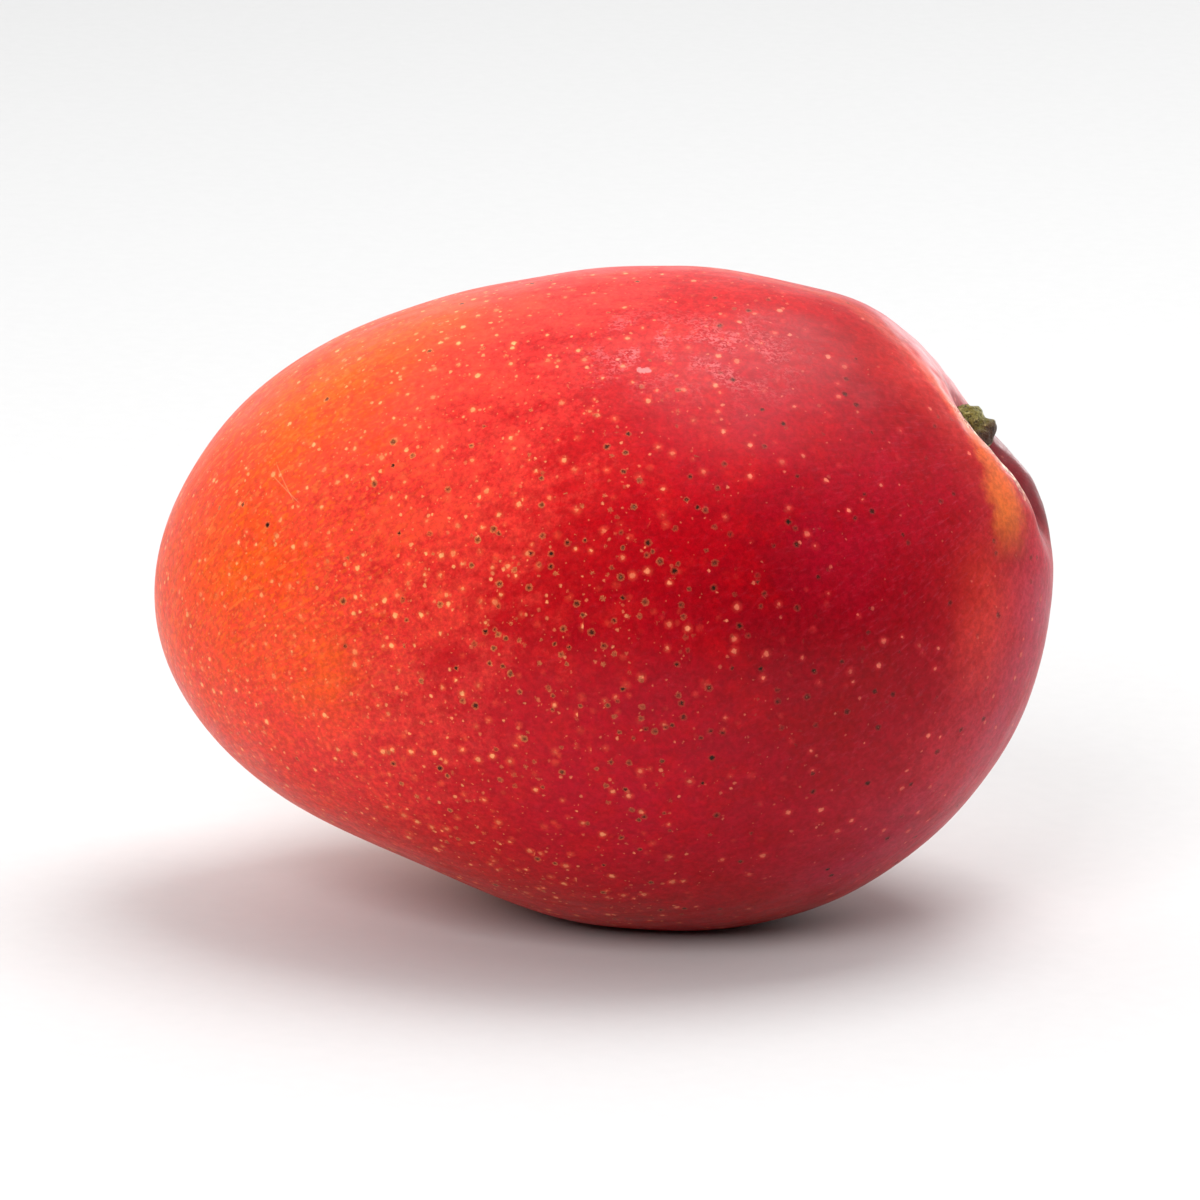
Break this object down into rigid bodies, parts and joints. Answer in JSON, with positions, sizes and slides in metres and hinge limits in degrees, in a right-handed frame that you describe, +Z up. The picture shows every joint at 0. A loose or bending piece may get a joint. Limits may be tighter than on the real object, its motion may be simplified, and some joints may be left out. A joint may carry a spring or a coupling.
{
  "type": "mango",
  "caption": "Whole ripe red mango with fine pale pores in its waxy skin and a short stalk stub, lying on its narrow edge.",
  "frame": {"origin": "on the resting surface, below the middle of the bounding box", "axes": "+X along the fruit's length to the stem end, +Z up, -Y the cheek that faces forward"},
  "size_m": [0.1204, 0.0834, 0.0864],
  "materials": {
    "skin": "waxy mango skin, orange red near the tip and crimson near the stem",
    "stalk": "dry, knobbly, olive and dark brown"
  },
  "bodies": {
    "root": {"fruit": "skin", "stem_stub": "stalk"}
  },
  "joints": []
}
